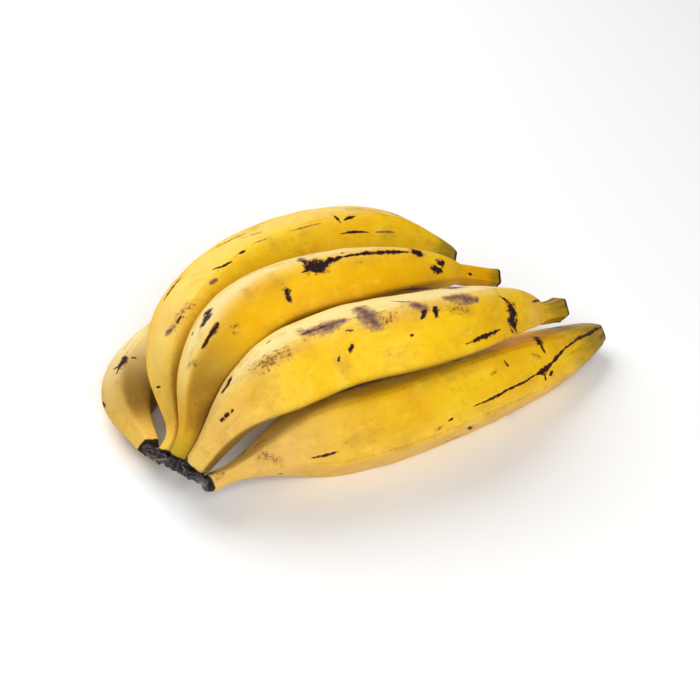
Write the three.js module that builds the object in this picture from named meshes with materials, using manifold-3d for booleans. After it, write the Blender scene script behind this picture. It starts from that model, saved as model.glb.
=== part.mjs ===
// A hand of five ripe plantains joined at one cut crown, lying on a table with its hollow side down.
// Millimetres, +Z up. X runs along the hand to the blossom tips, Y from the front fruit to the back one.
// The origin is on the table, under the middle of the hand.

import * as THREE from "three";
import { mergeVertices } from "three/addons/utils/BufferGeometryUtils.js";
import Module from "manifold-3d";

const wasm = await Module();
wasm.setup();

// Driving dimensions of the five fruits, from the front of the hand over its top to the back.
// color: the main colour of its peel.
// spine: points along the middle of the fruit, from its stalk end in the crown to its blossom tip.
// girth: half of its greatest thickness.
// roll: how far its first face is turned from the inside of the bend, in degrees.
// neck: half thickness of its stalk where it leaves the crown.
// swell: where the stalk begins to thicken and where it is full, as shares of the length.
// stub: half thickness of the blossom stub.
// stubStart: where the stub begins, as a share of the length.
// tipRound: length over which the end of the stub rounds off.
// crown: half thickness of the crown behind this stalk.
// tuck: how far its lower front face is turned under along the belly, in degrees.
const FRUITS = [
  {
    name: "plantain_front",
    color: 0xf0b42a,
    spine: [[-78.2, -87.4, 24.4], [-29, -52.6, 20.8], [23, -35, 23.5], [73, -7, 22.5], [119, 22, 18.5], [152.6, 52.5, 12]],
    girth: 25,
    roll: 25,
    neck: 5.3,
    swell: [0.04, 0.32],
    stub: 8.6,
    stubStart: 0.985,
    tipRound: 9,
    crown: 1.2,
    tuck: 0,
  },
  {
    name: "plantain_upper_front",
    color: 0xf2ba1e,
    spine: [
      [-85.5, -77.3, 27], [-54.6, -59.2, 62.7], [-9, -34, 74], [41, -19, 76],
      [86, 12, 63], [112, 33, 44.5], [127, 46, 37],
    ],
    girth: 23,
    roll: 63,
    neck: 7.4,
    swell: [0, 0.32],
    stub: 6.8,
    stubStart: 0.92,
    tipRound: 2,
    crown: 3.9,
    tuck: 18,
  },
  {
    name: "plantain_top",
    color: 0xf2b90f,
    spine: [
      [-96.2, -68.6, 24.4], [-88.8, -56.8, 36], [-79, -34, 60], [-50, 4, 72],
      [-1, 26, 74], [47, 48, 64], [89, 67, 43],
    ],
    girth: 22,
    roll: 40,
    neck: 5.2,
    swell: [0, 0.33],
    stub: 6.4,
    stubStart: 0.88,
    tipRound: 2,
    crown: 3.3,
    tuck: 0,
  },
  {
    name: "plantain_upper_back",
    color: 0xf3be22,
    spine: [
      [-104, -60, 19], [-99, -45, 25], [-102, -11, 44], [-80, 40, 54],
      [-38, 75, 58], [15, 94, 55], [64.5, 106.5, 26.5],
    ],
    girth: 21.5,
    roll: 2,
    neck: 4.9,
    swell: [0.03, 0.32],
    stub: 8.5,
    stubStart: 0.99,
    tipRound: 8,
    crown: 2.9,
    tuck: 0,
  },
  {
    name: "plantain_back",
    color: 0xd0a42a,
    spine: [[-114, -51.5, 16], [-129, -12.5, 17], [-115, 30, 17], [-77, 69, 17], [-22, 99, 14], [40, 119, 10]],
    girth: 18.7,
    roll: 0,
    neck: 6.4,
    swell: [-0.02, 0.25],
    stub: 6,
    stubStart: 0.94,
    tipRound: 3,
    crown: 3.4,
    tuck: 0,
  },
];
const MIDDLE = [5.42, 16.19, 0]; // the spot on the table, in spine points, that becomes the origin

const FACES = 5; // flat faces round a plantain
const LOWER_FRONT_FACE = 3; // the face that a tuck turns under
const TUCK_START = [0.06, 0.24]; // shares of the length between which a tuck comes in
const TUCK_END = [0.85, 0.97]; // and between which it goes out again
const EDGE_SHARPNESS = 9; // a larger number makes a sharper edge between two faces
const FACE_DEPTH = 0.92; // distance to the middle of a face, as a share of the half thickness
const BELLY = 0.47; // where the taper to the blossom tip begins, as a share of the length
const TAPER_POWER = 2.5; // a larger number keeps the fruit full for longer, then tapers faster
const TIP_FACE = 0.6; // size of the flat end face of the blossom stub, as a share of the stub

const CROWN_COLOR = 0x33242a;
const CROWN_LIP = 0.4; // how far the crown stands out round a stalk
const CROWN_SQUARE = 3; // a larger number makes the section of the crown squarer
const CROWN_SEAT = 0.6; // how deep the end of a stalk sits in the crown
const CROWN_OVERHANG = [3, 6.5]; // how far the crown runs on past its front and its back stalk
const CROWN_ROUND = 0.16; // share of its length over which each of its ends closes
const CROWN_END = 0.45; // size of the crown at its very ends, as a share of its full section
const SOCKET_GAP = 0.35; // clearance between a stalk and its socket in the crown

const SIDES_ROUND = 25; // mesh sides round a fruit, a multiple of FACES
const STEPS_ALONG = 44; // mesh steps along a fruit
const TIP_STEPS = 3; // of these, mesh steps over the rounded end of the stub
const CROWN_SIDES = 24; // mesh sides round the crown
const CROWN_STEPS = 40; // mesh steps along the crown

const { lerp, clamp, smoothstep, degToRad } = THREE.MathUtils;

// Distance from the middle to a soft-edged five-sided outline, as a share of the half thickness. A tuck
// turns the lower front face under.
function section(angle, tuck) {
  let sum = 0;
  for (let face = 0; face < FACES; face++) {
    const middle = (2 * Math.PI * face) / FACES + (face === LOWER_FRONT_FACE ? tuck : 0);
    sum += Math.max(0, Math.cos(angle - middle)) ** EDGE_SHARPNESS;
  }
  return FACE_DEPTH * sum ** (-1 / EDGE_SHARPNESS);
}

// How far the lower front face is turned under, in radians.
function tuckAt(fruit, along) {
  return degToRad(fruit.tuck) * smoothstep(along, ...TUCK_START) * (1 - smoothstep(along, ...TUCK_END));
}

// Half thickness of a fruit, along its length from 0 in the crown to 1 at the blossom tip.
function halfThickness(fruit, along) {
  const swell = lerp(fruit.neck / fruit.girth, 1, smoothstep(along, ...fruit.swell));
  const taper = clamp((along - BELLY) / (fruit.stubStart - BELLY), 0, 1) ** TAPER_POWER;
  return fruit.girth * swell * lerp(1, fruit.stub / fruit.girth, taper);
}

// The spine, and the direction square to the plane that the fruit bends in.
function spineOf(fruit) {
  const middle = new THREE.Vector3(...MIDDLE);
  const points = fruit.spine.map((p) => new THREE.Vector3(...p).sub(middle));
  const curve = new THREE.CatmullRomCurve3(points, false, "catmullrom", 0.5);
  const flank = new THREE.Vector3().crossVectors(
    new THREE.Vector3().subVectors(points[3], points[0]),
    new THREE.Vector3().subVectors(points.at(-1), points[0]),
  );
  return { curve, flank: flank.normalize() };
}

// A direction made square to another one.
function squared(direction, axis) {
  return direction.clone().addScaledVector(axis, -direction.dot(axis)).normalize();
}

// A closed cylinder of unit size with no attributes but its positions.
function tube(sides, steps) {
  const geometry = new THREE.CylinderGeometry(1, 1, 1, sides, steps);
  geometry.deleteAttribute("normal");
  geometry.deleteAttribute("uv");
  return geometry;
}

// A tube bent along the spine, with the fruit's section and thickness. What would sink into the table is
// pressed flat on it. A clearance makes the fruit larger all round.
function fruitGeometry(fruit, clearance = 0) {
  const { curve, flank } = spineOf(fruit);
  const roundStart = 1 - fruit.tipRound / curve.getLength();
  const roundStep = STEPS_ALONG - TIP_STEPS;
  const geometry = tube(SIDES_ROUND, STEPS_ALONG);
  const position = geometry.getAttribute("position");
  const corner = new THREE.Vector3();
  for (let i = 0; i < position.count; i++) {
    corner.fromBufferAttribute(position, i);
    const step = Math.round((corner.y + 0.5) * STEPS_ALONG);
    const overTip = (Math.max(0, step - roundStep) / TIP_STEPS) * (Math.PI / 2);
    const along = lerp((roundStart * Math.min(step, roundStep)) / roundStep, 1, Math.sin(overTip));
    const turn = Math.atan2(corner.x, corner.z);
    const reach = Math.hypot(corner.x, corner.z) * lerp(TIP_FACE, 1, Math.cos(overTip));
    const tangent = curve.getTangentAt(along);
    const side = squared(flank, tangent);
    const inside = new THREE.Vector3().crossVectors(side, tangent);
    const outline = section(turn, tuckAt(fruit, along));
    const radius = reach * (halfThickness(fruit, along) * outline + clearance);
    const around = turn + degToRad(fruit.roll);
    corner
      .copy(curve.getPointAt(along))
      .addScaledVector(side, radius * Math.sin(around))
      .addScaledVector(inside, radius * Math.cos(around))
      .addScaledVector(tangent, step === 0 ? -clearance : 0);
    position.setXYZ(i, corner.x, corner.y, Math.max(corner.z, -clearance));
  }
  return mergeVertices(geometry, 1e-3);
}

// The crown before its sockets are cut: a squarish bar swept past the ends of all five stalks.
function crownBar() {
  const stalks = FRUITS.map((fruit) => spineOf(fruit).curve);
  const inward = stalks.map((curve) => curve.getTangentAt(0));
  const points = stalks.map((curve, i) => (
    curve.getPointAt(0).addScaledVector(inward[i], CROWN_SEAT - FRUITS[i].crown)
  ));
  const sizes = FRUITS.map((fruit) => new THREE.Vector3(fruit.neck + CROWN_LIP, fruit.crown, 0));
  const front = new THREE.Vector3().subVectors(points[0], points[1]).setLength(CROWN_OVERHANG[0]);
  const rear = new THREE.Vector3().subVectors(points[4], points[3]).setLength(CROWN_OVERHANG[1]);
  const ends = [front.add(points[0]), rear.add(points[4])];
  const curve = new THREE.CatmullRomCurve3([ends[0], ...points, ends[1]], false, "catmullrom", 0.5);
  const facing = new THREE.CatmullRomCurve3([inward[0], ...inward, inward[4]], false, "catmullrom", 0.5);
  const size = new THREE.CatmullRomCurve3([sizes[0], ...sizes, sizes[4]], false, "catmullrom", 0.5);
  const geometry = tube(CROWN_SIDES, CROWN_STEPS);
  const position = geometry.getAttribute("position");
  const corner = new THREE.Vector3();
  for (let i = 0; i < position.count; i++) {
    corner.fromBufferAttribute(position, i);
    const along = clamp(corner.y + 0.5, 0, 1);
    const turn = Math.atan2(corner.x, corner.z);
    const tangent = curve.getTangent(along);
    const depth = squared(facing.getPoint(along), tangent);
    const width = new THREE.Vector3().crossVectors(tangent, depth);
    const half = size.getPoint(along);
    const toEnd = clamp(Math.min(along, 1 - along) / CROWN_ROUND, 0, 1);
    const closing = Math.hypot(corner.x, corner.z) * lerp(CROWN_END, 1, Math.sqrt(1 - (1 - toEnd) ** 2));
    const square = (Math.abs(Math.sin(turn)) ** CROWN_SQUARE + Math.abs(Math.cos(turn)) ** CROWN_SQUARE)
      ** (-1 / CROWN_SQUARE);
    corner
      .copy(curve.getPoint(along))
      .addScaledVector(depth, half.y * closing * square * Math.cos(turn))
      .addScaledVector(width, half.x * closing * square * Math.sin(turn));
    position.setXYZ(i, corner.x, corner.y, corner.z);
  }
  return mergeVertices(geometry, 1e-3);
}

function toSolid(geometry) {
  const vertProperties = new Float32Array(geometry.getAttribute("position").array);
  const triVerts = new Uint32Array(geometry.index.array);
  return new wasm.Manifold(new wasm.Mesh({ numProp: 3, vertProperties, triVerts }));
}

function toGeometry(solid) {
  const mesh = solid.getMesh();
  const geometry = new THREE.BufferGeometry();
  geometry.setAttribute("position", new THREE.BufferAttribute(mesh.vertProperties, 3));
  geometry.setIndex(new THREE.BufferAttribute(mesh.triVerts, 1));
  return geometry;
}

const hand = new THREE.Group();
hand.name = "plantain_hand";
let crown = toSolid(crownBar());
for (const fruit of FRUITS) {
  const peel = new THREE.MeshStandardMaterial({ color: fruit.color, roughness: 0.5, metalness: 0 });
  const mesh = new THREE.Mesh(fruitGeometry(fruit), peel);
  mesh.name = fruit.name;
  hand.add(mesh);
  crown = crown.subtract(toSolid(fruitGeometry(fruit, SOCKET_GAP)));
}
const driedStalk = new THREE.MeshStandardMaterial({ color: CROWN_COLOR, roughness: 0.6, metalness: 0 });
const crownMesh = new THREE.Mesh(toGeometry(crown), driedStalk);
crownMesh.name = "crown";
hand.add(crownMesh);

export default hand;
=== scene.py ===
import math

import bmesh
import bpy
import numpy as np
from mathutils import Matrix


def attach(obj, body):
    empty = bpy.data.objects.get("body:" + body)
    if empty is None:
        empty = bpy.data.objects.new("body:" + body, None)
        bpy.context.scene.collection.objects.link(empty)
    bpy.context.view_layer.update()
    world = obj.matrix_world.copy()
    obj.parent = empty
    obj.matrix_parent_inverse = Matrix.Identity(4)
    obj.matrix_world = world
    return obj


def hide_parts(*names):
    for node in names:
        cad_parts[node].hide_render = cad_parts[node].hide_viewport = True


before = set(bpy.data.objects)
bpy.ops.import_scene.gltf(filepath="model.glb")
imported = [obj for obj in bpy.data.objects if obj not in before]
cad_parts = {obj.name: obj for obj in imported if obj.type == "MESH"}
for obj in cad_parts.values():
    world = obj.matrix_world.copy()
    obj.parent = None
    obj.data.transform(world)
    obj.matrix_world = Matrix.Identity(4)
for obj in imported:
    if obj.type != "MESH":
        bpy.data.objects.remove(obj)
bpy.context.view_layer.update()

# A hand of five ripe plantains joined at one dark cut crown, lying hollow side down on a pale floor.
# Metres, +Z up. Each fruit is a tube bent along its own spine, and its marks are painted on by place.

MM = 0.001

# The five fruits, from the front of the hand over its top to the back, in millimetres.
# spine: points along the middle of the fruit, from its stalk end in the crown to its blossom tip.
# girth: half of its greatest thickness.
# roll: how far its first face is turned from the inside of the bend, in degrees.
# neck: half thickness of its stalk where it leaves the crown.
# swell: where the stalk begins to thicken and where it is full, as shares of the length.
# stub, stub_start: half thickness of the blossom stub, and where it begins as a share of the length.
# tip_round: length over which the end of the stub rounds off.
# flare: how far the stub widens again at its end, as a share of its thickness.
# crown: half thickness of the crown behind this stalk.
# tuck: how far its lower front face is turned under along the belly, in degrees.
# sharp: sharpness of the edges between its faces.
# amber: how far its yellow goes from lemon to amber, from 0 to 1.
# tan, bloom, dusky: how tan each of its five faces is, how much a painted sheen lightens it, and how much
# painted shade darkens it where it lies against its neighbour, each from 0 to 1.
# neck_painted_shade: the same painted shade near the neck.
# tan_neck, green_neck, olive_stub: how tan and how green its neck is, and how olive its stub, from 0 to 1.
# tan_reach, olive_reach: how far that tan and that olive reach from the stalk end and from the tip.
FRUITS = {
    "plantain_front": dict(
        spine=[
            (-78.2, -87.4, 24.4), (-29, -52.6, 20.8), (23, -35, 23.5),
            (73, -7, 22.5), (119, 22, 18.5), (152.6, 52.5, 12),
        ],
        girth=25, roll=25, neck=5.3, swell=(0.04, 0.32), stub=8.6, stub_start=0.985, tip_round=9,
        flare=0, crown=1.2, tuck=0, sharp=10, amber=0.45,
        tan=(0.3, 0.1, 0.1, 0.8, 0.5), painted_sheen=(0, 0.1, 0, 0, 0),
        painted_shade=(0.7, 0, 0, 0, 0.4), neck_painted_shade=(0.7, 0, 0, 0, 0.4),
        tan_neck=0.9, tan_reach=130, green_neck=0, olive_stub=1, olive_reach=66,
    ),
    "plantain_upper_front": dict(
        spine=[
            (-85.5, -77.3, 27), (-54.6, -59.2, 62.7), (-9, -34, 74), (41, -19, 76),
            (86, 12, 63), (112, 33, 44.5), (127, 46, 37),
        ],
        girth=23, roll=63, neck=7.4, swell=(0, 0.32), stub=6.8, stub_start=0.92, tip_round=2,
        flare=0.12, crown=3.9, tuck=18, sharp=13, amber=0.5,
        tan=(0.1, 0.1, 0.06, 0.1, 0.2), painted_sheen=(0, 0.9, 0, 0, 0),
        painted_shade=(0.5, 0, 0, 0.85, 0.8), neck_painted_shade=(0.5, 0, 0, 0.85, 0.8),
        tan_neck=0.85, tan_reach=95, green_neck=0.05, olive_stub=1, olive_reach=36,
    ),
    "plantain_top": dict(
        spine=[
            (-96.2, -68.6, 24.4), (-88.8, -56.8, 36), (-79, -34, 60), (-50, 4, 72),
            (-1, 26, 74), (47, 48, 64), (89, 67, 43),
        ],
        girth=22, roll=40, neck=5.2, swell=(0, 0.33), stub=6.4, stub_start=0.88, tip_round=2,
        flare=0.06, crown=3.3, tuck=0, sharp=16, amber=0.7,
        tan=(0.1, 0.1, 0.1, 0, 0), painted_sheen=(0, 0, 0.75, 0, 0),
        painted_shade=(0.8, 0.3, 0, 0.05, 0.8), neck_painted_shade=(0.8, 0.1, 0, 0.72, 1),
        tan_neck=0.25, tan_reach=70, green_neck=0.6, olive_stub=0.8, olive_reach=16,
    ),
    "plantain_upper_back": dict(
        spine=[
            (-104, -60, 19), (-99, -45, 25), (-102, -11, 44), (-80, 40, 54),
            (-38, 75, 58), (15, 94, 55), (64.5, 106.5, 26.5),
        ],
        girth=21.5, roll=2, neck=4.9, swell=(0.03, 0.32), stub=8.5, stub_start=0.99, tip_round=8,
        flare=0, crown=2.9, tuck=0, sharp=12, amber=0.1,
        tan=(0.1, 0.3, 0.3, 0, 0), painted_sheen=(0, 0, 0, 0.4, 0),
        painted_shade=(0.1, 0.3, 0, 0, 0), neck_painted_shade=(0.8, 0.5, 0, 0.3, 0.65),
        tan_neck=0.55, tan_reach=150, green_neck=0.2, olive_stub=1, olive_reach=34,
    ),
    "plantain_back": dict(
        spine=[
            (-114, -51.5, 16), (-129, -12.5, 17), (-115, 30, 17),
            (-77, 69, 17), (-22, 99, 14), (40, 119, 10),
        ],
        girth=18.7, roll=0, neck=6.4, swell=(-0.02, 0.25), stub=6, stub_start=0.94, tip_round=3,
        flare=0.1, crown=3.4, tuck=0, sharp=12, amber=0.4,
        tan=(0.7, 0.6, 0.6, 0.75, 0.7), painted_sheen=(0, 0, 0, 0.7, 0.8),
        painted_shade=(0.85, 0.4, 0, 0, 0), neck_painted_shade=(1, 0.5, 0.1, 0.3, 0.85),
        tan_neck=0.3, tan_reach=70, green_neck=0.2, olive_stub=0.8, olive_reach=20,
    ),
}
MIDDLE = np.array([5.42, 16.19, 0])  # the spot on the floor, in spine points, that is the origin

FACES = 5  # flat faces round a plantain
FACE_DEPTH = 0.915  # distance to the middle of a face, as a share of the half thickness
LOWER_FRONT_FACE = 3  # the face that a tuck turns under
TUCK_START = (0.06, 0.24)  # shares of the length between which a tuck comes in
TUCK_END = (0.85, 0.97)  # and between which it goes out again
BELLY = 0.47  # where the taper to the blossom tip begins, as a share of the length
TAPER_POWER = 2.5  # a larger number keeps the fruit full for longer, then tapers faster
TIP_FACE = 0.6  # size of the flat end face of the blossom stub, as a share of the stub
TIP_DIMPLE = 1.2  # depth of the dried scar in that face, mm
DIMPLE_RIM = (0.1, 0.8)  # shares of the way in to the middle of that face between which the scar dips
STUB_FLARE = (9, 1)  # a stub flares between these distances from its end, mm
STALK_ROUND = (2.5, 0.14)  # length over which a stalk draws in at the crown, mm, and how far, as a share
LUMP_DEPTH = 0.35  # how far the soft swells and hollows of the peel go out and in, mm
LUMP_WAVES = ((1, 83), (2, -57), (3, 37), (2, 23), (5, -17))  # count round the fruit, and length in mm
CREASE_DEPTH = 0.3  # how far the lengthwise creases of the neck and the stub go in, mm
CREASE_WAVES = ((7, 90), (11, -120), (4, 60), (17, 70))  # count round the fruit, and length in mm
CREASED = (6, 13)  # half thicknesses between which the creases die away, mm
BLACK_SINK = 0.2  # how far the peel has sunk under a black mark, mm
SINK_FULL = 0.5  # how deep in a black mark it has sunk fully, from 0 at its edge to 1 in its middle
DENT_DEPTH = 1.3  # how far the peel is pressed in where it was knocked, mm
PEEL_SIDES = 220  # mesh sides round a fruit, a multiple of 2 * FACES so that each edge has its own line
PEEL_RINGS = 400  # mesh steps along a fruit
TIP_RINGS = 20  # of these, steps over the end of the blossom stub
RIM_SHARE = 0.5  # share of those that go round its rim, before the others cross its end face
TIP_CLOSING = 0.97  # how far the end face has closed at its last step
SPINE_STEPS = 3001  # fine steps along a spine

# Where the tints of the peel come and go, in millimetres from the stalk end unless it says otherwise.
TINT_END = (0.7, 0.9)  # shares of the length between which the painted sheen and the painted shade die away
TAN_START = 25  # the tan of the neck fades from here to its reach
SHEEN_START = (12, 70)  # the painted sheen comes in
NECK_SHADE_IN = (0, 30)  # the painted shade near the neck comes in
NECK_SHADE_OUT = (35, 95)  # and gives way to the painted shade of the belly
SHADE_CRISP = 0.75  # share of that painted shade that stops at the edges of its face
RING_IN = (1, 3)  # a pale, dry ring round the stalk comes in
RING_OUT = (3, 7)  # and goes out again
GREEN_OUT = (3, 20)  # the green of the neck goes out
STALK_SCAR = (0.5, 3)  # the dark, dried end of the stalk goes out
TIP_SCAR = (4.5, 1.5)  # the same at the blossom stub, from its tip
OLIVE_FULL = 3  # where the olive of the stub is full, from its tip
EDGE_WIDTH = 0.5  # a larger number widens the worn line along each edge
SOFT_TINT = 0.3  # a smaller number lets the tints of the faces run further into each other
PATTERN_STEP = 400  # how far apart the fruits lie in the pattern of the peel, so that no two look alike
FIBRE_SQUEEZE = 0.07  # a smaller number draws that pattern out further lengthwise, for its fibres

CROWN_LIP = 0.4  # how far the crown stands out round a stalk, mm
CROWN_SQUARE = 3  # a larger number makes the section of the crown squarer
CROWN_SEAT = 0.6  # how deep the end of a stalk sits in the crown, mm
CROWN_OVERHANG = (2, 6.5)  # how far the crown runs on past its front and its back stalk, mm
CROWN_ROUND = 0.22  # share of its length over which each of its ends closes
CROWN_END = 0.4  # size of the crown at its very ends, as a share of its full section
CROWN_LENGTH = 62  # length of the crown along its bend, mm
CROWN_KNOBS = (7, 0.28)  # spacing of the knobs of its dried skin, mm, and how far they swell it, as a share
CROWN_FOLDS = (3.4, 0.26)  # the same for how far the folds between them go in
KNOB_WAVES = 24  # waves in all directions that add up to the knobs
KNOB_SPREAD = (0.7, 1.4)  # how much further apart or closer than the spacing each wave may be
KNOB_CONTRAST = 0.35  # a larger number sets the knobs off more sharply
CROWN_SEED = 7  # of its random knobs and folds
CROWN_SIDES = 120  # mesh sides round the crown
CROWN_RINGS = 260  # mesh steps along the crown
BAR_STEPS = 2001  # fine steps along the middle of the crown

FLOOR_REACH = 3.0  # half the width of the floor, m

# The camera stands where the photograph was taken from, and sees it as 700 by 700 pixels.
PHOTO_SIZE = 700
VIEW_HEIGHT = 45  # height of the middle of the picture above the floor, mm
VIEW_TARGET = (np.array([0, 0, VIEW_HEIGHT]) - MIDDLE) * MM
VIEW_ELEVATION = math.radians(42)
VIEW_DISTANCE = 1.0  # m
SENSOR_WIDTH = 36.0  # mm
LENS = 88.67  # mm
FOCAL_PIXELS = LENS / SENSOR_WIDTH * PHOTO_SIZE
VIEW_FORWARD = np.array([0, math.cos(VIEW_ELEVATION), -math.sin(VIEW_ELEVATION)])
VIEW_UP = np.array([0, math.sin(VIEW_ELEVATION), math.cos(VIEW_ELEVATION)])
VIEW_PLACE = VIEW_TARGET - VIEW_DISTANCE * VIEW_FORWARD

# Marks on the peel and the crown that the photograph shows: their kind, their width in millimetres, and
# the pixels that each one runs through.
MARKS = {
    "plantain_front": [
        ("black", 1.3, [(474, 406), (491, 399), (511, 388), (526, 381), (540, 372)]),
        ("black", 3.4, [(537, 374), (545, 370), (551, 364)]),
        ("black", 1.7, [(548, 367), (558, 356), (567, 346)]),
        ("black", 1.6, [(564, 349), (578, 339), (588, 334), (600, 330)]),
        ("black", 1.1, [(545, 374), (546, 381)]),
        ("black", 1.4, [(550, 375), (552, 372)]),
        ("black", 4.2, [(536, 337), (539, 343)]),
        ("black", 1.5, [(538, 343), (546, 354)]),
        ("speckle", 3.0, [(533, 354), (541, 358)]),
        ("black", 1.5, [(504, 361), (508, 366)]),
        ("speckle", 3.0, [(492, 374), (496, 370)]),
        ("black", 2.8, [(469, 427), (471, 429)]),
        ("black", 0.9, [(449, 421), (454, 418)]),
        ("speckle", 2.2, [(436, 430), (444, 426)]),
        ("black", 1.2, [(312, 458), (326, 455), (339, 451)]),
        ("speckle", 7.0, [(262, 455), (278, 461)]),
        ("speckle", 4.0, [(217, 478), (223, 474)]),
        ("speckle", 3.0, [(255, 446), (266, 440)]),
        ("black", 1.2, [(280, 479), (282, 479)]),
        ("dent", 15, [(582, 361), (584, 359)]),
        # A dark rub along the lower edge of the fruit above: painted shade in the crease where that fruit
        # lies on this one.
        ("bruise_and_crease_shade", 7.5, [(286, 408), (330, 394), (372, 381), (420, 368), (455, 359), (482, 348)]),
    ],
    "plantain_upper_front": [
        ("bruise_and_crease_shade", 8.0, [(304, 333), (318, 329), (328, 325), (343, 320)]),
        ("black", 2.0, [(304, 334), (312, 331), (319, 328), (326, 326)]),
        ("bruise_and_crease_shade", 9.5, [(359, 308), (368, 316), (375, 323)]),
        ("speckle", 7.0, [(298, 330), (306, 336)]),
        ("speckle", 9.0, [(383, 321), (391, 317)]),
        ("black", 1.1, [(346, 331), (353, 330)]),
        ("black", 1.2, [(390, 301), (405, 302), (421, 303)]),
        ("bruise_and_crease_shade", 4.5, [(414, 304), (424, 308)]),
        ("black", 2.0, [(425, 311), (422, 318)]),
        ("black", 2.3, [(435, 309), (437, 316)]),
        ("bruise_and_crease_shade", 7.0, [(446, 298), (476, 300)]),
        ("speckle", 8.0, [(452, 308), (468, 311)]),
        ("black", 1.3, [(411, 335), (412, 335)]),
        ("black", 1.1, [(499, 296), (504, 298), (509, 303)]),
        ("black", 6.0, [(511, 308), (513, 314), (513, 323)]),
        ("black", 1.9, [(466, 344), (482, 337), (500, 329)]),
        ("black", 2.2, [(353, 346), (350, 351)]),
        ("black", 1.3, [(339, 357), (338, 360)]),
        ("black", 3.8, [(230, 380), (227, 386), (223, 391)]),
        ("black", 1.6, [(221, 421), (223, 419)]),
        ("black", 1.8, [(226, 416), (228, 414)]),
        ("black", 1.2, [(232, 412), (233, 410)]),
        ("speckle", 12.0, [(260, 364), (274, 358), (286, 353)]),
        ("black", 1.2, [(267, 343), (270, 341)]),
        ("black", 1.5, [(532, 302), (541, 301), (548, 299), (554, 297)]),
    ],
    "plantain_top": [
        ("black", 3.0, [(298, 261), (306, 264)]),
        ("black", 6.5, [(311, 266), (321, 266)]),
        ("black", 2.6, [(322, 264), (332, 260), (342, 257)]),
        ("black", 2.1, [(342, 257), (360, 254), (388, 252), (408, 252)]),
        ("black", 3.4, [(414, 252), (421, 254)]),
        ("black", 1.4, [(303, 272), (312, 268)]),
        ("bruise_and_crease_shade", 4.0, [(299, 258), (305, 262)]),
        ("black", 1.2, [(342, 253), (343, 253)]),
        ("black", 1.2, [(365, 246), (369, 246)]),
        ("black", 3.2, [(287, 291), (288, 293)]),
        ("black", 3.0, [(289, 298), (289, 300)]),
        ("black", 3.6, [(439, 262), (443, 264)]),
        ("black", 4.0, [(434, 268), (439, 271)]),
        ("black", 1.3, [(469, 274), (471, 274)]),
        ("bruise_and_crease_shade", 2.4, [(396, 291), (412, 289), (430, 288)]),
        ("black", 1.3, [(404, 290), (424, 288)]),
        ("black", 1.6, [(437, 289), (438, 289)]),
        ("black", 5.2, [(208, 312), (207, 318), (204, 323)]),
        ("black", 2.7, [(218, 322), (213, 331), (208, 339)]),
        ("black", 1.8, [(209, 337), (202, 348)]),
        ("speckle", 4.0, [(232, 327), (238, 325)]),
        ("speckle", 3.0, [(234, 333), (237, 332)]),
        ("speckle", 4.0, [(188, 366), (196, 362)]),
        ("black", 1.1, [(187, 332), (188, 331)]),
    ],
    "plantain_upper_back": [
        ("black", 1.4, [(212, 270), (222, 267), (232, 262)]),
        ("black", 1.4, [(239, 254), (245, 251)]),
        ("bruise_and_crease_shade", 2.6, [(210, 283), (217, 280)]),
        ("speckle", 9.0, [(190, 305), (180, 317), (172, 328)]),
        ("black", 1.4, [(181, 316), (177, 323)]),
        ("bruise_and_crease_shade", 3.4, [(168, 332), (171, 330)]),
        ("bruise_and_crease_shade", 4.0, [(253, 233), (258, 232)]),
        ("dent", 13, [(255, 231), (258, 231)]),
        ("black", 1.3, [(332, 215), (341, 223)]),
        ("black", 1.3, [(344, 220), (355, 216)]),
        ("black", 1.5, [(341, 234), (352, 232), (369, 232)]),
        ("bruise_and_crease_shade", 1.4, [(376, 232), (394, 232)]),
        ("black", 1.1, [(157, 388), (160, 387)]),
        ("bruise_and_crease_shade", 0.9, [(251, 244), (270, 238)]),
        ("bruise_and_crease_shade", 0.9, [(292, 231), (321, 223)]),
        ("black", 1.1, [(164, 300), (172, 288), (181, 277)]),
        ("black", 1.0, [(211, 250), (228, 241), (246, 233)]),
    ],
    "plantain_back": [
        ("black", 4.2, [(124, 360), (120, 366)]),
        ("black", 1.8, [(119, 367), (117, 373)]),
        ("black", 1.3, [(113, 369), (117, 367)]),
        ("speckle", 3.6, [(134, 337), (125, 348)]),
        ("black", 1.2, [(127, 345), (124, 349)]),
        ("black", 1.2, [(132, 358), (135, 358)]),
        ("black", 1.6, [(103, 403), (104, 405)]),
    ],
    "crown": [
        ("scrap", 1.6, [(152, 463), (158, 459), (169, 460)]),
        ("scrap", 2.2, [(183, 467), (184, 474)]),
        ("scrap", 1.0, [(197, 482), (205, 487)]),
    ],
}
# Black bruises, grey-violet rubs (one of them painted shade in the crease under the fruit above), sprays of
# rust freckles, knocks, and scraps of torn fibre on the crown.
MARK_KINDS = ("black", "bruise_and_crease_shade", "speckle", "dent", "scrap")
FAR_OUTSIDE = -3.0  # depth in a mark of a place that is far away from any
STROKE_ENDS = (1.5, 0.35)  # share of its width at a stroke's ends: widths per length, and the least

# Marks drawn at random on the sides of each fruit that the photograph doesn't show.
HIDDEN_MARKS = 26
HIDDEN_KINDS = {"black": 0.5, "bruise_and_crease_shade": 0.2, "speckle": 0.27, "dent": 0.03}  # share of each kind
HIDDEN_REACH = np.array([14, 0.12])  # longest reach of one, along the fruit in mm and round it in radians
HIDDEN_BLACK_WIDTH = (1.1, 3.2)  # narrowest and widest black one, mm
HIDDEN_WIDTH = (3, 8)  # narrowest and widest one of another kind, mm
LENGTH_PER_TURN = 20  # length along a fruit that counts as much as one radian round it, mm


def smoothstep(value, low, high):
    share = np.clip((value - low) / (high - low), 0, 1)
    return share * share * (3 - 2 * share)


def unit(vectors):
    return vectors / np.linalg.norm(vectors, axis=-1, keepdims=True)


def squared(directions, axes):
    """Directions made square to axes."""
    return unit(directions - (directions * axes).sum(-1, keepdims=True) * axes)


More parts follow.
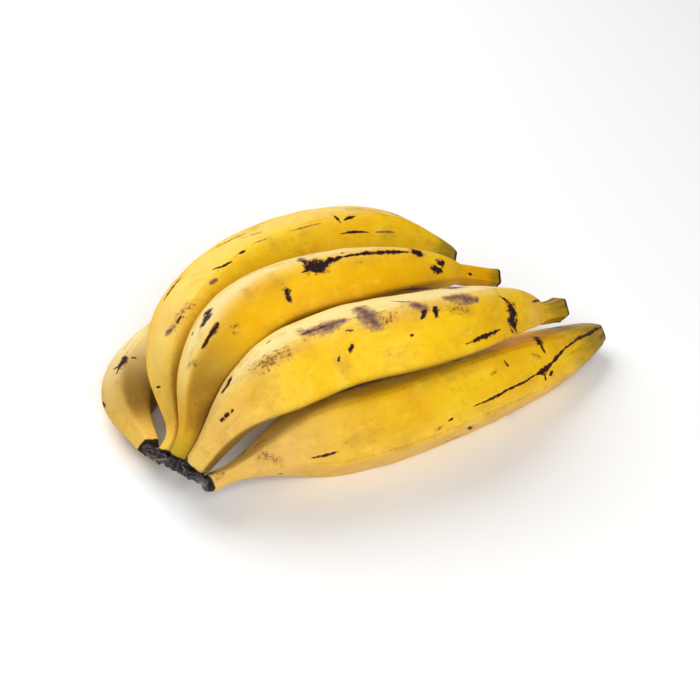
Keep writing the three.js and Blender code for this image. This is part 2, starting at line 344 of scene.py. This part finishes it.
def curve_through(points, share):
    """Places on the smooth curve through the points, as share runs from 0 to 1 over its spans."""
    points = np.asarray(points, dtype=float)
    padded = np.vstack([2 * points[0] - points[1], points, 2 * points[-1] - points[-2]])
    spans = len(points) - 1
    place = np.clip(share, 0, 1) * spans
    span = np.minimum(place.astype(int), spans - 1)
    x = (place - span)[:, None]
    before, start, end, after = (padded[span + k] for k in range(4))
    leave, arrive = (end - before) / 2, (after - start) / 2
    cubic = 2 * (start - end) + leave + arrive
    square = 3 * (end - start) - 2 * leave - arrive
    return ((cubic * x + square) * x + leave) * x + start


def spine_of(fruit):
    """The spine in fine steps: share of the length, place, direction, and the whole length, in mm."""
    places = curve_through(np.array(fruit["spine"]) - MIDDLE, np.linspace(0, 1, SPINE_STEPS))
    run = np.concatenate([[0], np.cumsum(np.linalg.norm(np.diff(places, axis=0), axis=1))])
    return run / run[-1], places, unit(np.gradient(places, run, axis=0)), run[-1]


def read_off(at, table_at, table):
    return np.stack([np.interp(at, table_at, column) for column in table.T], axis=1)


def face_pull(fruit, turn, along):
    """How strongly each of the five faces shapes the outline at each place."""
    tuck = math.radians(fruit["tuck"]) * smoothstep(along, *TUCK_START) * (1 - smoothstep(along, *TUCK_END))
    middles = [
        2 * math.pi * face / FACES + (tuck if face == LOWER_FRONT_FACE else 0) for face in range(FACES)
    ]
    return np.stack([np.maximum(0, np.cos(turn - middle)) ** fruit["sharp"] for middle in middles])


def half_thickness(fruit, along):
    neck, stub = fruit["neck"] / fruit["girth"], fruit["stub"] / fruit["girth"]
    swell = neck + (1 - neck) * smoothstep(along, *fruit["swell"])
    taper = np.clip((along - BELLY) / (fruit["stub_start"] - BELLY), 0, 1) ** TAPER_POWER
    return fruit["girth"] * swell * (1 + (stub - 1) * taper)


def rolling(run, turn, draw, waves):
    """Soft rolling between 0 and 1: waves gives each wave's count round the tube and its length in mm."""
    total = sum(
        np.sin(count * turn + 2 * math.pi * run / length + draw.uniform(0, 2 * math.pi))
        for count, length in waves
    )
    return 0.5 + 0.5 * total / len(waves)


def knobbly(places, spacing, draw):
    """Rounded knobs between 0 and 1, about the given spacing apart, at places in mm."""
    ways = unit(draw.normal(size=(KNOB_WAVES, 3)))
    ways = ways * draw.uniform(*KNOB_SPREAD, (KNOB_WAVES, 1)) * 2 * math.pi / spacing
    starts = draw.uniform(0, 2 * math.pi, KNOB_WAVES)
    waves = np.sin(places @ ways.T + starts).sum(1) / math.sqrt(KNOB_WAVES)
    return np.clip(0.5 + KNOB_CONTRAST * waves, 0, 1)


def tube_mesh(name, sides, rings):
    """A closed tube of unit size, with the turn round it and the share along it of each vertex."""
    tube = bmesh.new()
    bmesh.ops.create_cone(tube, cap_ends=True, segments=sides, radius1=1, radius2=1, depth=1)
    lengthwise = [e for e in tube.edges if abs(e.verts[0].co.z - e.verts[1].co.z) > 0.5]
    bmesh.ops.subdivide_edges(tube, edges=lengthwise, cuts=rings - 1, use_grid_fill=True)
    for face in tube.faces:
        face.smooth = True
    mesh = bpy.data.meshes.new(name)
    tube.to_mesh(mesh)
    tube.free()
    corners = np.empty(3 * len(mesh.vertices))
    mesh.vertices.foreach_get("co", corners)
    x, y, z = corners.reshape(-1, 3).T
    return mesh, np.arctan2(y, x), np.clip(z + 0.5, 0, 1)


def place_vertices(mesh, places):
    mesh.vertices.foreach_set("co", (places * MM).ravel())
    mesh.update()


def paint(mesh, name, values):
    """Keeps one value, or one place, for each vertex under a name that the material reads."""
    kind, slot = ("FLOAT_VECTOR", "vector") if values.ndim == 2 else ("FLOAT", "value")
    layer = mesh.attributes.new(name, kind, "POINT")
    layer.data.foreach_set(slot, values.astype(np.float32).ravel())


def photo_pixels(places):
    """Where places in mm fall in the photograph."""
    away = places * MM - VIEW_PLACE
    depth = away @ VIEW_FORWARD
    across = PHOTO_SIZE / 2 + FOCAL_PIXELS * away[:, 0] / depth
    down = PHOTO_SIZE / 2 - FOCAL_PIXELS * (away @ VIEW_UP) / depth
    return np.stack([across, down], axis=1)


def wrapped(angle):
    return (angle + math.pi) % (2 * math.pi) - math.pi


def stroke(field, width, spots, run, turn, radius):
    """Raises the field to 1 along a stroke through spots on the peel; it falls to 0 at the stroke's edge.

    A long stroke is thinner towards its ends. The tiny numbers allow for a stroke of no length."""
    spans = []
    for first, last in zip(spots, spots[1:]):
        reach = (radius[first] + radius[last]) / 2
        ahead = np.array([run[last] - run[first], wrapped(turn[last] - turn[first]) * reach])
        spans.append((first, reach, ahead))
    total = sum(np.linalg.norm(ahead) for _, _, ahead in spans) + 1e-6
    widths_long, least = STROKE_ENDS
    ends = np.clip(widths_long * width / total, least, 1)
    done = 0
    for first, reach, ahead in spans:
        off = np.stack([run - run[first], wrapped(turn - turn[first]) * reach], axis=1)
        share = np.clip(off @ ahead / max(ahead @ ahead, 1e-9), 0, 1)
        distance = np.linalg.norm(off - share[:, None] * ahead, axis=1)
        travelled = (done + share * np.linalg.norm(ahead)) / total
        half = width / 2 * (ends + (1 - ends) * np.sin(math.pi * travelled))
        np.maximum(field, 1 - distance / half, out=field)
        done += np.linalg.norm(ahead)


def mark_fields(name, places, outward, run, turn, radius):
    """How deep each vertex lies in a mark of each kind: 1 in its middle, 0 at its edge, less outside.

    Also gives the vertices that the photograph doesn't show."""
    fields = {kind: np.full(len(places), FAR_OUTSIDE) for kind in MARK_KINDS}
    facing = ((VIEW_PLACE - places * MM) * outward).sum(1) > 0
    seen, unseen = np.flatnonzero(facing), np.flatnonzero(~facing)
    pixels = photo_pixels(places[seen])
    for kind, width, through in MARKS[name]:
        spots = [seen[((pixels - pixel) ** 2).sum(1).argmin()] for pixel in through]
        stroke(fields[kind], width, spots, run, turn, radius)
    return fields, unseen


def add_hidden_marks(fields, unseen, run, turn, radius, draw):
    for start in draw.choice(unseen, HIDDEN_MARKS):
        kind = draw.choice(tuple(HIDDEN_KINDS), p=tuple(HIDDEN_KINDS.values()))
        away = draw.uniform(-HIDDEN_REACH, HIDDEN_REACH)
        lengthwise = (run[unseen] - run[start] - away[0]) / LENGTH_PER_TURN
        sideways = wrapped(turn[unseen] - turn[start] - away[1])
        end = unseen[(lengthwise ** 2 + sideways ** 2).argmin()]
        width = draw.uniform(*(HIDDEN_BLACK_WIDTH if kind == "black" else HIDDEN_WIDTH))
        stroke(fields[kind], width, [start, end], run, turn, radius)


def plantain(name, fruit, seed):
    """One fruit: a five-edged tube bent along its spine, creased at the neck and the stub."""
    draw = np.random.default_rng(seed)
    mesh, turn, share = tube_mesh(name, PEEL_SIDES, PEEL_RINGS)
    spine_along, spine_places, spine_ahead, length = spine_of(fruit)
    points = np.array(fruit["spine"]) - MIDDLE
    bend = points[len(points) // 2]
    flank = unit(np.cross(bend - points[0], points[-1] - points[0]))

    rim = 1 - TIP_RINGS / PEEL_RINGS
    over_tip = np.clip((share - rim) / (1 - rim), 0, 1)
    rim_turn = np.clip(over_tip / RIM_SHARE, 0, 1) * math.pi / 2
    inward = np.clip((over_tip - RIM_SHARE) / (1 - RIM_SHARE), 0, 1)
    round_start = 1 - fruit["tip_round"] / length
    along = round_start * np.minimum(share / rim, 1) + (1 - round_start) * np.sin(rim_turn)
    centre = read_off(along, spine_along, spine_places)
    ahead = unit(read_off(along, spine_along, spine_ahead))
    side = squared(np.broadcast_to(flank, ahead.shape), ahead)
    inside = np.cross(side, ahead)
    run = along * length

    thick = half_thickness(fruit, along)
    pull = face_pull(fruit, turn, along)
    radius = thick * FACE_DEPTH * pull.sum(0) ** (-1 / fruit["sharp"])
    lumps = rolling(run, turn, draw, LUMP_WAVES)
    radius += LUMP_DEPTH * (2 * lumps - 1) * thick / fruit["girth"]
    narrow = 1 - smoothstep(thick, *CREASED)
    creases = np.abs(rolling(run, turn, draw, CREASE_WAVES) - 0.5) * 2
    radius -= CREASE_DEPTH * narrow * creases
    radius *= 1 + fruit["flare"] * smoothstep(run, length - STUB_FLARE[0], length - STUB_FLARE[1])
    radius *= 1 - STALK_ROUND[1] * (1 - smoothstep(run, 0, STALK_ROUND[0]))
    radius *= (TIP_FACE + (1 - TIP_FACE) * np.cos(rim_turn)) * (1 - TIP_CLOSING * inward)

    around = turn + math.radians(fruit["roll"])
    outward = np.sin(around)[:, None] * side + np.cos(around)[:, None] * inside
    dimple = TIP_DIMPLE * smoothstep(inward, *DIMPLE_RIM)
    places = centre + radius[:, None] * outward - dimple[:, None] * ahead
    marks, unseen = mark_fields(name, places, outward, run, turn, radius)
    add_hidden_marks(marks, unseen, run, turn, radius, draw)
    sunk = BLACK_SINK * smoothstep(marks["black"], 0, SINK_FULL)
    sunk += DENT_DEPTH * smoothstep(marks["dent"], 0, 1)
    places -= sunk[:, None] * outward
    places[:, 2] = np.maximum(places[:, 2], 0)
    place_vertices(mesh, places)

    across = thick * np.cos(turn), thick * np.sin(turn)
    paint(mesh, "peel_place", np.stack([*across, run + PATTERN_STEP * seed], axis=1) * MM)
    face_share = pull / pull.sum(0)
    soft_share = pull ** SOFT_TINT / (pull ** SOFT_TINT).sum(0)
    strongest = np.sort(face_share, axis=0)[-2:]
    paint(mesh, "edge", np.exp(-((strongest[1] - strongest[0]) / EDGE_WIDTH) ** 2))
    paint(mesh, "amber", np.full(len(run), fruit["amber"]))

    tan_neck = fruit["tan_neck"] * (1 - smoothstep(run, TAN_START, fruit["tan_reach"]))
    paint(mesh, "tan", np.maximum(np.array(fruit["tan"]) @ soft_share, tan_neck))
    # A painted sheen lightens the upper faces and painted shade darkens the faces that lie against a
    # neighbour, both fading out towards the stub.
    to_stub = 1 - smoothstep(along, *TINT_END)
    painted_sheen = np.array(fruit["painted_sheen"]) @ soft_share
    paint(mesh, "painted_sheen", painted_sheen * smoothstep(run, *SHEEN_START) * to_stub)
    neckward = smoothstep(run, *NECK_SHADE_IN) * (1 - smoothstep(run, *NECK_SHADE_OUT))
    painted_shade = np.outer(fruit["neck_painted_shade"], neckward) + np.outer(fruit["painted_shade"], to_stub - neckward)
    paint(mesh, "painted_shade", (painted_shade * (SHADE_CRISP * face_share + (1 - SHADE_CRISP) * soft_share)).sum(0))
    paint(mesh, "ring", fruit["tan_neck"] * (smoothstep(run, *RING_IN) - smoothstep(run, *RING_OUT)))
    paint(mesh, "green", fruit["green_neck"] * (1 - smoothstep(run, *GREEN_OUT)))
    olive = smoothstep(run, length - fruit["olive_reach"], length - OLIVE_FULL)
    paint(mesh, "stub", fruit["olive_stub"] * olive)
    tip_scar = smoothstep(run, length - TIP_SCAR[0], length - TIP_SCAR[1])
    paint(mesh, "scar", np.maximum(tip_scar, 1 - smoothstep(run, *STALK_SCAR)))
    for kind in ("black", "bruise_and_crease_shade", "speckle"):
        paint(mesh, kind, marks[kind])
    return bpy.data.objects.new(name + "_peel", mesh)


def dried_crown():
    """The crown: a squarish bar swept past the ends of all five stalks, lumpy and folded where it dried."""
    draw = np.random.default_rng(CROWN_SEED)
    mesh, turn, along = tube_mesh("crown", CROWN_SIDES, CROWN_RINGS)
    spines = [spine_of(fruit) for fruit in FRUITS.values()]
    inward = np.array([ahead[0] for _, _, ahead, _ in spines])
    halves = np.array([(fruit["neck"] + CROWN_LIP, fruit["crown"]) for fruit in FRUITS.values()])
    points = np.array([places[0] for _, places, _, _ in spines]) + (CROWN_SEAT - halves[:, 1:]) * inward
    front = points[0] + CROWN_OVERHANG[0] * unit(points[0] - points[1])
    rear = points[-1] + CROWN_OVERHANG[1] * unit(points[-1] - points[-2])
    steps = np.linspace(0, 1, BAR_STEPS)
    bar = curve_through(np.vstack([front, points, rear]), steps)
    facing = curve_through(np.vstack([inward[0], inward, inward[-1]]), steps)
    size = curve_through(np.vstack([halves[0], halves, halves[-1]]), steps)
    centre = read_off(along, steps, bar)
    ahead = unit(read_off(along, steps, np.gradient(bar, steps, axis=0)))
    depth = squared(read_off(along, steps, facing), ahead)
    width = np.cross(ahead, depth)
    half = read_off(along, steps, size)

    to_end = np.clip(np.minimum(along, 1 - along) / CROWN_ROUND, 0, 1)
    closing = CROWN_END + (1 - CROWN_END) * np.sqrt(1 - (1 - to_end) ** 2)
    around = np.stack([np.sin(turn), np.cos(turn)], axis=1)
    square = (np.abs(around) ** CROWN_SQUARE).sum(1) ** (-1 / CROWN_SQUARE)
    across = half * (closing * square)[:, None] * around
    swept = across[:, :1] * width + across[:, 1:] * depth
    knobs = knobbly(centre + swept, CROWN_KNOBS[0], draw)
    folds = np.abs(2 * knobbly(centre + swept, CROWN_FOLDS[0], draw) - 1)
    grown = 1 + CROWN_KNOBS[1] * (2 * knobs - 1) - CROWN_FOLDS[1] * (1 - folds)
    places = centre + grown[:, None] * swept
    place_vertices(mesh, places)
    radius = np.linalg.norm(swept, axis=1)
    marks, _ = mark_fields("crown", places, swept, along * CROWN_LENGTH, turn, radius)
    paint(mesh, "fold", 1 - folds)
    paint(mesh, "scrap", marks["scrap"])
    return bpy.data.objects.new("crown_dried", mesh)


def linear(hex_colour):
    """The linear colour, with alpha, of an sRGB hex value."""
    parts = [int(hex_colour[k:k + 2], 16) / 255 for k in (1, 3, 5)]
    return (*(p / 12.92 if p <= 0.04045 else ((p + 0.055) / 1.055) ** 2.4 for p in parts), 1.0)


def add(tree, kind, inputs, **settings):
    """Adds one node to a material; an input is given as a value or as the output that feeds it."""
    node = tree.nodes.new(kind)
    for name, value in settings.items():
        setattr(node, name, value)
    for key, value in inputs.items():
        if isinstance(value, bpy.types.NodeSocket):
            tree.links.new(value, node.inputs[key])
        else:
            node.inputs[key].default_value = value
    return node


def painted(tree, *names):
    """The values that the mesh keeps under these names."""
    return (add(tree, "ShaderNodeAttribute", {}, attribute_name=name).outputs["Fac"] for name in names)


def noise(tree, vector, size, detail, roughness):
    """A random pattern with lumps about the given size in mm."""
    inputs = {"Vector": vector, "Scale": 1 / (size * MM), "Detail": detail, "Roughness": roughness}
    return add(tree, "ShaderNodeTexNoise", inputs).outputs["Fac"]


def raised(tree, value, factor, rest):
    """A value, times a factor, plus a rest."""
    inputs = {0: value, 1: factor, 2: rest}
    return add(tree, "ShaderNodeMath", inputs, operation="MULTIPLY_ADD").outputs["Value"]


def ranged(tree, value, low, high, least, most, fade="LINEAR"):
    """Goes from least to most as the value goes from low to high."""
    inputs = {"Value": value, "From Min": low, "From Max": high, "To Min": least, "To Max": most}
    return add(tree, "ShaderNodeMapRange", inputs, interpolation_type=fade).outputs["Result"]


def tinted(tree, colour, tints, fade):
    """Lays tints over a colour: what each follows, where it begins and is full, its most, and its tone."""
    for value, low, high, most, tone in tints:
        inputs = {"Factor": ranged(tree, value, low, high, 0, most, fade), 6: colour, 7: linear(tone)}
        colour = add(tree, "ShaderNodeMix", inputs, data_type="RGBA").outputs[2]
    return colour


def finish_skin(tree, colour, roughness, relief, strength, depth):
    """Feeds the shader its colour, its roughness and the fine relief of the skin, whose depth is in mm."""
    skin = tree.nodes["Principled BSDF"]
    tree.links.new(colour, skin.inputs["Base Color"])
    tree.links.new(roughness, skin.inputs["Roughness"])
    inputs = {"Height": relief, "Strength": strength, "Distance": depth * MM}
    tree.links.new(add(tree, "ShaderNodeBump", inputs).outputs["Normal"], skin.inputs["Normal"])
    return skin


def ripe_plantain_peel():
    # Ripe plantain peel is a thin waxy skin over lengthwise fibres. The eye gets a satin yellow, lemon to
    # amber in clouds and tan near the stalk, with black bruises in rusty borders, streaky grey-violet rubs,
    # small rust freckles and an olive, dried blossom end. Painted on top are a pale sheen along the upper
    # faces and grey in the middles of the widest black marks, and painted shade: dull brown where the
    # fruits lie against each other and a dark rub in the crease under the fruit above.
    material = bpy.data.materials.new("ripe plantain peel")
    material.use_nodes = True
    tree = material.node_tree
    place = add(tree, "ShaderNodeAttribute", {}, attribute_name="peel_place").outputs["Vector"]
    edge, amber, tan, painted_sheen, painted_shade, green, ring, stub, scar, black, bruise_and_crease_shade, speckle = painted(
        tree, "edge", "amber", "tan", "painted_sheen", "painted_shade", "green", "ring", "stub", "scar",
        "black", "bruise_and_crease_shade", "speckle",
    )
    drawn_out = add(
        tree, "ShaderNodeVectorMath", {0: place, 1: (1, 1, FIBRE_SQUEEZE)}, operation="MULTIPLY",
    ).outputs["Vector"]
    # The place that each pattern follows, its size in mm and its detail.
    clouds, smudges, patches, mottles, freckles, ragged, streaks, fibres, pores = (
        noise(tree, vector, size, detail, roughness=0.6)
        for vector, size, detail in (
            (place, 46, 2), (place, 17, 5), (place, 9, 3), (place, 4, 4), (place, 1.8, 2), (place, 2.6, 4),
            (drawn_out, 3.2, 4), (drawn_out, 1.1, 2), (place, 0.7, 1),
        )
    )
    # Patterns that lift a painted value, or each other, so that tints and marks end in uneven borders.
    cloudy = raised(tree, clouds, 2.2, amber)
    worn = raised(tree, patches, 1.0, edge)
    frayed = raised(tree, streaks, 0.35, ragged)
    streaked = raised(tree, streaks, 0.9, ragged)
    torn = raised(tree, frayed, 3.5, black)
    rubbed_and_crease_shade = raised(tree, streaked, 2.2, bruise_and_crease_shade)
    grazed = raised(tree, frayed, 1.8, speckle)
    sprayed = raised(tree, freckles, 5.0, speckle)
    dotted = raised(tree, smudges, 0.8, freckles)
    browned = raised(tree, streaks, 1.2, stub)
    dried = raised(tree, frayed, 0.8, scar)
    scuffed = raised(tree, frayed, 1.6, edge)
    ringed = raised(tree, frayed, 1.5, ring)

    # The tints from the bottom up.
    colour = tinted(tree, linear("#f9cb14"), (
        (cloudy, 1.1, 2.3, 1.0, "#e8ab00"),
        (tan, 0.0, 1.0, 1.0, "#eabd62"),
        (patches, 0.5, 0.8, 0.4, "#e6a206"),
        (patches, 0.48, 0.25, 0.4, "#fddc4a"),
        (mottles, 0.52, 0.75, 0.35, "#d69a14"),
        # painted sheen: pale cream over the upper faces
        (painted_sheen, 0.0, 1.0, 1.0, "#fdeaa4"),
        # painted shade: dull brown where the fruits lie against each other
        (painted_shade, 0.0, 1.0, 0.95, "#6f4f14"),
        (fibres, 0.5, 0.75, 0.15, "#d79a14"),
        (smudges, 0.5, 0.72, 0.45, "#c0902c"),
        (streaks, 0.64, 0.76, 0.22, "#a8752a"),
        (green, 0.0, 1.0, 1.0, "#a59a1c"),
        (ringed, 1.3, 2.1, 0.6, "#d3b678"),
        (worn, 1.15, 1.7, 0.3, "#a8752a"),
        (scuffed, 2.0, 2.5, 0.45, "#83551f"),
        (browned, 0.75, 1.5, 0.9, "#9a7d14"),
        (browned, 1.5, 1.8, 0.6, "#4a3515"),
        (dotted, 1.18, 1.27, 0.75, "#8a4f1a"),
        (grazed, 0.9, 2.2, 0.4, "#b07a2c"),
        (sprayed, 3.05, 3.9, 0.8, "#7a3d16"),
        # grey-violet rubs, one of which is painted shade in the crease under the fruit above
        (rubbed_and_crease_shade, 1.5, 2.6, 0.85, "#8b6255"),
        (rubbed_and_crease_shade, 2.4, 3.1, 0.75, "#54393f"),
        (torn, 1.6, 2.4, 0.7, "#94531a"),
        (torn, 2.2, 2.6, 0.95, "#4a2013"),
        (torn, 2.5, 2.9, 1.0, "#221517"),
        # painted sheen: grey in the middles of the widest black marks
        (torn, 3.4, 3.9, 0.3, "#54525a"),
        (dried, 0.9, 1.35, 1.0, "#2b1f18"),
    ), "SMOOTHSTEP")
    roughness = ranged(tree, patches, low=0.3, high=0.7, least=0.4, most=0.55)
    relief = add(tree, "ShaderNodeMath", {0: fibres, 1: pores}, operation="ADD").outputs["Value"]
    skin = finish_skin(tree, colour, roughness, relief, strength=0.35, depth=0.25)
    skin.inputs["Specular IOR Level"].default_value = 0.12
    return material


def dried_plantain_crown():
    # The cut crown has dried to a leathery skin: nearly black, with violet-brown blotches, black folds, tan
    # threads where fibres were torn, and a slight shine on its lumps.
    material = bpy.data.materials.new("dried plantain crown")
    material.use_nodes = True
    tree = material.node_tree
    place = add(tree, "ShaderNodeTexCoord", {}).outputs["Object"]
    fold, scrap = painted(tree, "fold", "scrap")
    blotches, threads = (noise(tree, place, size, detail=3, roughness=0.65) for size in (5, 1.2))
    torn = add(tree, "ShaderNodeMath", {0: blotches, 1: threads}, operation="MULTIPLY").outputs["Value"]
    frayed = raised(tree, threads, 2.0, scrap)
    colour = tinted(tree, linear("#160e13"), (
        (blotches, 0.45, 0.7, 1.0, "#3f2832"),
        (fold, 0.5, 1.0, 0.85, "#070405"),
        (torn, 0.33, 0.45, 0.75, "#7a5a44"),
        (frayed, 1.0, 1.6, 0.85, "#a08672"),
    ), "LINEAR")
    roughness = ranged(tree, threads, low=0.3, high=0.7, least=0.2, most=0.5)
    finish_skin(tree, colour, roughness, threads, strength=0.6, depth=0.5)
    return material


def studio_paper():
    # A sheet of white backdrop paper: bright, even and without shine.
    material = bpy.data.materials.new("white backdrop paper")
    material.use_nodes = True
    sheet = material.node_tree.nodes["Principled BSDF"]
    sheet.inputs["Base Color"].default_value = linear("#fbfbfa")
    sheet.inputs["Roughness"].default_value = 0.9
    sheet.inputs["Specular IOR Level"].default_value = 0.1
    return material


def show(piece, material):
    bpy.context.scene.collection.objects.link(piece)
    piece.data.materials.append(material)


peel = ripe_plantain_peel()
for number, (node, fruit) in enumerate(FRUITS.items()):
    piece = plantain(node, fruit, seed=number + 1)
    show(piece, peel)
    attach(piece, "root")
    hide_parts(node)

crown = dried_crown()
show(crown, dried_plantain_crown())
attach(crown, "root")
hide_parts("crown")

sheet = bmesh.new()
bmesh.ops.create_grid(sheet, x_segments=1, y_segments=1, size=FLOOR_REACH)
floor_mesh = bpy.data.meshes.new("floor")
sheet.to_mesh(floor_mesh)
sheet.free()
floor = bpy.data.objects.new("floor", floor_mesh)
show(floor, studio_paper())

# A soft box in front, a second one high behind the left of the hand, and a dim white room.
for name, place, size, watts in (
    ("front", (0.2, -0.83, 0.76), 0.7, 8.7),
    ("back_left", (-0.45, 0.55, 0.9), 1.0, 11.0),
):
    light = bpy.data.lights.new(name, "AREA")
    light.size = size
    light.energy = watts
    lamp = bpy.data.objects.new(name, light)
    lamp.location = place
    towards = VIEW_TARGET - np.array(place)
    lamp.rotation_euler = (
        math.acos(-towards[2] / np.linalg.norm(towards)), 0, math.atan2(-towards[0], towards[1]),
    )
    bpy.context.scene.collection.objects.link(lamp)

room = bpy.data.worlds.new("white room")
room.use_nodes = True
room.node_tree.nodes["Background"].inputs["Color"].default_value = linear("#ffffff")
room.node_tree.nodes["Background"].inputs["Strength"].default_value = 0.2
bpy.context.scene.world = room
bpy.context.scene.view_settings.view_transform = "Standard"

camera_data = bpy.data.cameras.new("camera")
camera_data.sensor_width = SENSOR_WIDTH
camera_data.lens = LENS
camera = bpy.data.objects.new("camera", camera_data)
camera.location = VIEW_PLACE
camera.rotation_euler = (math.pi / 2 - VIEW_ELEVATION, 0, 0)
bpy.context.scene.collection.objects.link(camera)
bpy.context.scene.camera = camera
